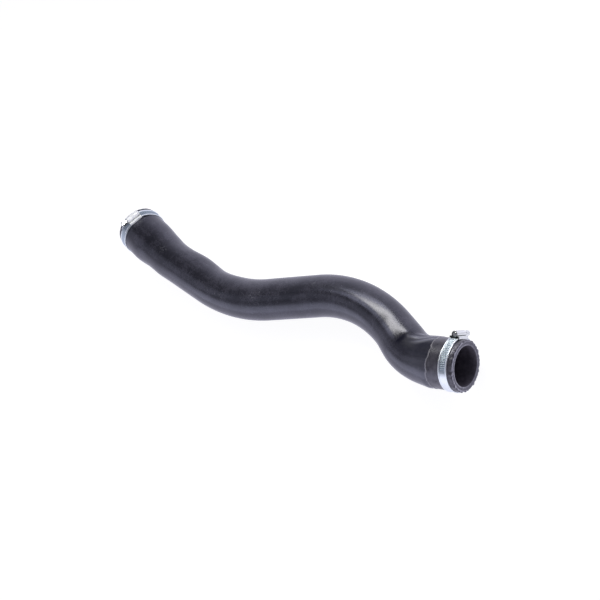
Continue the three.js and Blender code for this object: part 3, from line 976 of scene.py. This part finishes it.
class Look:
    """The node tree of a material or a world, with a short call for each kind of node in use"""

    def __init__(self, owner):
        self.owner = owner
        owner.use_nodes = True
        self.nodes = owner.node_tree.nodes
        self.links = owner.node_tree.links

    def feed(self, value, socket):
        """Links a socket to another node, or sets it where the value stays the same all over"""
        if isinstance(value, bpy.types.NodeSocket):
            self.links.new(value, socket)
        elif socket.type == "RGBA":
            socket.default_value = (*value, 1.0)
        else:
            socket.default_value = value

    def add(self, kind, inputs, **settings):
        """A node with its settings, and with its inputs fed by their names or numbers"""
        node = self.nodes.new("ShaderNode" + kind)
        for name, value in settings.items():
            setattr(node, name, value)
        for name, value in inputs.items():
            self.feed(value, node.inputs[name])
        return node

    def dress(self, **values):
        """Feeds the surface's sockets, which are named with underscores here"""
        surface = self.nodes["Principled BSDF"]
        for name, value in values.items():
            self.feed(value, surface.inputs[name.replace("_", " ").title().replace("Ior", "IOR")])
        return surface

    def attribute(self, name):
        return self.add("Attribute", {}, attribute_name=name).outputs["Vector"]

    def parts(self, vector):
        return self.add("SeparateXYZ", {"Vector": vector}).outputs.values()

    def stretch(self, vector, scale, rotation=(0, 0, 0)):
        inputs = {"Vector": vector, "Scale": scale, "Rotation": rotation}
        return self.add("Mapping", inputs).outputs["Vector"]

    def noise(self, vector, scale, detail, roughness=0.5):
        inputs = {"Vector": vector, "Scale": scale, "Detail": detail, "Roughness": roughness}
        return self.add("TexNoise", inputs).outputs["Fac"]

    def threads(self, space, slant):
        """Parallel threads of cloth, at an angle to the hose"""
        turned = self.stretch(space, (1, 1, 1), (0, 0, slant))
        inputs = {"Vector": turned, "Scale": CLOTH_SCALE, "Distortion": 0.6, "Detail": 1.0}
        return self.add("TexWave", inputs, bands_direction="X").outputs["Fac"]

    def spread(self, value, low, high, to_low=0.0, to_high=1.0, curve="SMOOTHSTEP"):
        """Maps a value's range to another, on a smooth curve unless told, and keeps it inside"""
        inputs = {"Value": value, "From Min": low, "From Max": high, "To Min": to_low, "To Max": to_high}
        return self.add("MapRange", inputs, interpolation_type=curve).outputs["Result"]

    def math(self, operation, *values):
        inputs = dict(enumerate(values))
        return self.add("Math", inputs, operation=operation).outputs["Value"]

    def distance(self, vector, point):
        inputs = {0: vector, 1: point}
        return self.add("VectorMath", inputs, operation="DISTANCE").outputs["Value"]

    def blend(self, share, first, second):
        """A colour between two others"""
        inputs = {"Factor": share, "A": first, "B": second}
        return self.add("Mix", inputs, data_type="RGBA").outputs["Result"]

    def bump(self, height, strength, distance, over=None):
        """A normal tilted by a height, over the normal of another bump where one is given"""
        inputs = {"Height": height, "Strength": strength, "Distance": distance}
        if over is not None:
            inputs["Normal"] = over
        return self.add("Bump", inputs).outputs["Normal"]

    def for_camera(self, seen, otherwise):
        """One node where the camera sees it directly, and another for all other rays"""
        straight = self.add("LightPath", {}).outputs["Is Camera Ray"]
        inputs = {"Fac": straight, 1: otherwise, 2: seen}
        return self.add("MixShader", inputs).outputs["Shader"]


def new_look(name, space):
    """A material's look, and the place on the straight hose or on the clamp that it reads"""
    look = Look(bpy.data.materials.new(name))
    return look, look.attribute(space)


def scuff_mask(look, space):
    """Rubbed patches: rough-edged spots round points on the straightened hose"""
    ragged = look.noise(space, scale=320, detail=4, roughness=0.65)
    total = 0.0
    for place, angle, reach, strength in SCUFFS:
        point = (place, MIDDLE_RADIUS * math.cos(angle), MIDDLE_RADIUS * math.sin(angle))
        near = look.spread(look.distance(space, point), reach, 0, 0, strength)
        total = look.math("MAXIMUM", total, near)
    return look.math("MULTIPLY", total, look.spread(ragged, 0.45, 0.72))


def hose_rubber():
    look, space = new_look("hose_rubber", "hose_space")
    dull_and_shade, edge, pale_and_highlight = look.parts(look.attribute("hose_marks"))
    blotches = look.noise(space, scale=45, detail=3, roughness=0.55)
    smudges = look.noise(space, scale=260, detail=4, roughness=0.6)
    drawn = look.stretch(space, (14, 130, 130), (0, 0, STREAK_SLANT))
    streaks = look.noise(drawn, scale=1, detail=3, roughness=0.6)
    scuffs = scuff_mask(look, space)
    tone = look.math("ADD", blotches, look.spread(smudges, 0.1, 0.9, -0.22, 0.22))
    tone = look.math("ADD", tone, look.spread(streaks, 0, 1, -0.2, 0.2))
    base = look.blend(look.spread(tone, 0.3, 0.75), SKIN_DARK, SKIN_LIGHT)
    # Painted shade: darker, bluer skin where the elbow's top is dull
    base = look.blend(look.math("MULTIPLY", dull_and_shade, 0.7), base, SKIN_PAINTED_SHADE)
    # Painted highlight on the elbow's ridges, and paler skin near the ply edge
    base = look.blend(look.math("MULTIPLY", pale_and_highlight, 0.75), base, SKIN_PALE_AND_HIGHLIGHT)
    base = look.blend(scuffs, base, SKIN_SCUFFED)
    base = look.blend(look.spread(edge, *EDGE_RANGE), base, EDGE_TONE)
    rough = look.spread(look.noise(space, scale=20, detail=0), *NOISE_RANGE, 0.225, 0.24)
    rough = look.math("ADD", rough, look.math("MULTIPLY", scuffs, 0.25))
    rough = look.math("ADD", rough, look.math("MULTIPLY", dull_and_shade, 0.12))
    look.dress(
        base_color=base,
        roughness=rough,
        specular_ior_level=look.spread(dull_and_shade, 0, 1, 0.9, 0.12),
        specular_tint=RUBBER_TINT,
        normal=look.bump(streaks, strength=0.01, distance=0.4 * MM),
    )
    return look.owner


def ply_rubber():
    """The front cuff's outer ply: duller, with the print of the cloth that it was wrapped in"""
    look, space = new_look("ply_rubber", "hose_space")
    dull_and_shade, edge, _ = look.parts(look.attribute("hose_marks"))
    blotches = look.noise(space, scale=120, detail=4, roughness=0.6)
    cloth = look.math("MULTIPLY", look.threads(space, CLOTH_SLANT), look.threads(space, -CLOTH_SLANT))
    base = look.blend(look.spread(blotches, 0.35, 0.7), PLY_DARK, PLY_LIGHT)
    # Painted shade: darker ply where the elbow's top is dull
    base = look.blend(look.math("MULTIPLY", dull_and_shade, 0.6), base, PLY_PAINTED_SHADE)
    patches = look.bump(blotches, strength=0.3, distance=0.4 * MM)
    look.dress(
        base_color=look.blend(look.spread(edge, *EDGE_RANGE), base, EDGE_TONE),
        roughness=look.spread(blotches, *NOISE_RANGE, 0.27, 0.36),
        specular_ior_level=look.spread(dull_and_shade, 0, 1, 0.75, 0.25),
        specular_tint=RUBBER_TINT,
        normal=look.bump(cloth, strength=0.2, distance=0.12 * MM, over=patches),
    )
    return look.owner


def cut_rubber():
    """The sawn end faces: paler and rough"""
    look, space = new_look("cut_rubber", "hose_space")
    mottle = look.noise(space, scale=420, detail=4, roughness=0.6)
    _, _, rim = look.parts(look.attribute("hose_marks"))
    base = look.blend(look.spread(mottle, *NOISE_RANGE), CUT_DARK, CUT_LIGHT)
    # Painted highlight on the end face's rims
    highlighted = look.math("MULTIPLY", rim, look.spread(mottle, 0.35, 0.6, 0.3, 1))
    look.dress(
        base_color=look.blend(highlighted, base, CUT_RIM_HIGHLIGHT),
        roughness=look.spread(mottle, *NOISE_RANGE, 0.5, 0.7),
        specular_ior_level=0.7,
        specular_tint=RUBBER_TINT,
        normal=look.bump(mottle, strength=0.4, distance=0.3 * MM),
    )
    return look.owner


def bore_rubber():
    look, space = new_look("bore_rubber", "hose_space")
    mottle = look.noise(space, scale=160, detail=4, roughness=0.6)
    look.dress(
        # Painted light: paler tones in the bore stand in for light reaching inside
        base_color=look.blend(look.spread(mottle, *NOISE_RANGE), BORE_FILL_DARK, BORE_FILL_LIGHT),
        roughness=look.spread(mottle, *NOISE_RANGE, 0.45, 0.62),
        specular_ior_level=0.5,
        normal=look.bump(mottle, strength=0.35, distance=0.4 * MM),
    )
    return look.owner


def band_plate(name, thread_floor_shade, plain_floor_shade):
    """The bands' plate, with painted shade in the pressed grooves, and by a share in the floor between the
    lips
    """
    look, space = new_look(name, "band_space")
    turned, across, groove = look.parts(space)
    clouds = look.noise(space, scale=300, detail=3, roughness=0.55)
    base = look.blend(look.spread(clouds, *NOISE_RANGE), PLATE_DARK, PLATE_LIGHT)
    aside = look.math("ABSOLUTE", across)
    floor = look.spread(aside, lip_inner, lip_inner - BAND_FLOOR_FADE)
    depth = look.spread(turned, *THREAD_LOOK_FADE, plain_floor_shade, thread_floor_shade)
    # Painted shade in the band's floor between the lips, by a share that changes where the thread starts
    base = look.blend(look.math("MULTIPLY", floor, depth), base, BAND_FLOOR_SHADE)
    look.dress(
        # Painted shade in the pressed grooves
        base_color=look.blend(look.spread(groove, 0.15, 0.8), base, GROOVE_SHADE),
        roughness=look.spread(clouds, *NOISE_RANGE, 0.42, 0.5),
        metallic=1.0,
    )
    return look.owner


def crease_shade_share(look, space):
    """How near a point is to the creases between the housing's barrel and its shoulders, where shade is
    painted, from 0 to 1
    """
    flat = look.stretch(space, (1, 0, 1))
    left = look.distance(flat, (-crease_across, 0, housing_shoulder))
    right = look.distance(flat, (crease_across, 0, housing_shoulder))
    return look.spread(look.math("MINIMUM", left, right), *CREASE_SHADE_FADE)


def zinc_plate(name, tone, roughness, streak_tone=0.68, metallic=1.0, shaded_creases=True):
    """Bright zinc plate with drawing streaks along the screw's axis, which is its own Y, and painted shade in
    its creases unless told not to
    """
    look, space = new_look(name, "clamp_space")
    clouds = look.noise(space, scale=380, detail=3, roughness=0.55)
    streaks = look.noise(look.stretch(space, (700, 18, 700)), scale=1, detail=2)
    dark = [streak_tone * c for c in tone]
    base = look.blend(look.spread(streaks, 0.36, 0.56), dark, tone)
    if shaded_creases:
        # Painted shade in the creases between the barrel and its shoulders
        base = look.blend(crease_shade_share(look, space), base, CREASE_SHADE_TONE)
    rough = look.spread(clouds, *NOISE_RANGE, roughness, roughness + 0.05)
    look.dress(base_color=base, roughness=rough, metallic=metallic)
    return look.owner


# Stage

def add_camera(mouth):
    data = bpy.data.cameras.new("camera")
    data.lens = LENS_MM
    data.sensor_width = SENSOR_MM
    camera = add_object("camera", data)
    back = CAMERA_RIGHT.cross(CAMERA_UP)
    turn = Matrix((CAMERA_RIGHT, CAMERA_UP, back)).transposed().to_4x4()
    camera.matrix_world = Matrix.Translation(CAMERA_PLACE + mouth) @ turn
    bpy.context.scene.camera = camera


def add_floor():
    """A white floor that glows, so that it keeps only a pale shadow; other pieces see it as bluish"""
    half = FLOOR_SIZE / 2
    mesh = bpy.data.meshes.new("floor")
    corners = [(-half, -half, 0), (half, -half, 0), (half, half, 0), (-half, half, 0)]
    mesh.from_pydata(corners, [], [(0, 1, 2, 3)])
    floor = add_object("floor", mesh)
    look = Look(bpy.data.materials.new("floor"))
    surface = look.dress(
        base_color=FLOOR_TONE,
        roughness=1.0,
        specular_ior_level=0.0,
        emission_color=WHITE,
        emission_strength=FLOOR_GLOW,
    )
    reflected = look.add("Emission", {"Color": SURROUNDINGS_TINT, "Strength": FLOOR_REFLECTED})
    both = look.for_camera(surface.outputs["BSDF"], reflected.outputs["Emission"])
    look.feed(both, look.nodes["Material Output"].inputs["Surface"])
    mesh.materials.append(look.owner)


def add_world():
    """White where the camera sees it, and a studio that darkens towards its ceiling elsewhere"""
    look = Look(bpy.data.worlds.new("studio"))
    bpy.context.scene.world = look.owner
    look.nodes.clear()
    direction = look.add("TexCoord", {}).outputs["Generated"]
    _, _, upward = look.parts(direction)
    level = look.spread(upward, 0, ZENITH_START, HORIZON_LEVEL, ZENITH_LEVEL, curve="LINEAR")
    studio = look.add("Background", {"Color": SURROUNDINGS_TINT, "Strength": level})
    white = look.add("Background", {"Color": WHITE})
    both = look.for_camera(white.outputs["Background"], studio.outputs["Background"])
    look.add("OutputWorld", {"Surface": both})


def add_softbox(name, place, aim, long_side, size, brightness, tint):
    """An area lamp of a given surface brightness, with its long side along a given direction"""
    data = bpy.data.lights.new(name, "AREA")
    data.shape = "RECTANGLE"
    data.size, data.size_y = size
    data.energy = brightness * math.pi * data.size * data.size_y
    data.color = tint
    lamp = add_object(name, data)
    back = (place - Vector(aim)).normalized()
    along = Vector(long_side)
    along = (along - back * along.dot(back)).normalized()
    turn = Matrix((along, back.cross(along), back)).transposed().to_4x4()
    lamp.matrix_world = Matrix.Translation(place) @ turn
    lamp.visible_camera = False


def add_spot(name, place, aim, reach, power):
    """A narrow lamp that lights only what lies within reach of its aim"""
    data = bpy.data.lights.new(name, "SPOT")
    data.energy = power
    data.shadow_soft_size = SPOT_SOFTNESS
    data.spot_size = 2 * math.atan(reach / (place - aim).length)
    data.spot_blend = 1.0
    turn = (place - aim).to_track_quat("Z", "Y").to_matrix().to_4x4()
    add_object(name, data).matrix_world = Matrix.Translation(place) @ turn


def add_lights(mouth):
    """A strip lamp over the front elbow with cards beside it, a rear spot, and a low card on the -Y side"""
    elbow = mouth + LIT_ELBOW
    key = mouth + KEY_PLACE
    add_softbox("key", key, elbow, KEY_SIDE, size=(0.465, 0.09), brightness=9.8, tint=WARM)
    edge = mouth + KEY_EDGE_PLACE
    add_softbox("key_edge", edge, elbow, KEY_SIDE, size=(0.05, 0.05), brightness=7, tint=COOL)
    for name, place, size, brightness in BESIDE_KEY:
        place = mouth + Vector(place)
        add_softbox(name, place, place + (elbow - key), KEY_SIDE, size, brightness, COOL)
    add_spot("rear_spot", mouth + SPOT_PLACE, mouth + SPOT_AIM, SPOT_REACH, power=2.2)
    low = mouth + LOW_PLACE
    add_softbox("low_side", low, LOW_AIM, LOW_SIDE, size=(2.4, 0.95), brightness=0.75, tint=COOL)


# Assembly

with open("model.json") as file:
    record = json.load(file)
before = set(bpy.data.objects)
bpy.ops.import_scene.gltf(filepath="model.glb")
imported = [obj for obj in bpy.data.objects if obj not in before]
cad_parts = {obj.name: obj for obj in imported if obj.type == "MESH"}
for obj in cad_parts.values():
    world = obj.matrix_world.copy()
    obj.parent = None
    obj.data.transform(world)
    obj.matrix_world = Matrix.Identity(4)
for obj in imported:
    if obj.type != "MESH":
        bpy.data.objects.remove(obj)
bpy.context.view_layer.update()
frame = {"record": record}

front_mount = next(m for m in frame["record"]["mounts"] if m["name"] == "front_mouth")
mouth = Vector((front_mount["pos_m"][0], front_mount["pos_m"][1], 0))
add_camera(mouth)
add_floor()
add_world()
add_lights(mouth)

hose_line = centre_line(mouth)
hose = hose_piece(hose_line, [hose_rubber(), ply_rubber(), cut_rubber(), bore_rubber()])
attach(hose, "hose")
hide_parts("hose_body")

front_strip = band_plate("front_strip", thread_floor_shade=0.75, plain_floor_shade=0.0)
rear_strip = band_plate("rear_strip", thread_floor_shade=1.0, plain_floor_shade=1.0)
screw_plate = zinc_plate("screw_plate", (0.88, 0.91, 0.86), roughness=0.25, shaded_creases=False)
front_sheet = zinc_plate("front_sheet", (0.95, 0.98, 0.93), roughness=0.3)
rear_sheet = zinc_plate("rear_sheet", (0.98, 1.0, 0.98), roughness=0.5, streak_tone=0.9, metallic=0.2)
add_clamp(hose_line, FRONT_CLAMP, True, front_strip, front_sheet, screw_plate)
add_clamp(hose_line, REAR_CLAMP, False, rear_strip, rear_sheet, screw_plate)

bpy.context.scene.view_settings.view_transform = "Standard"
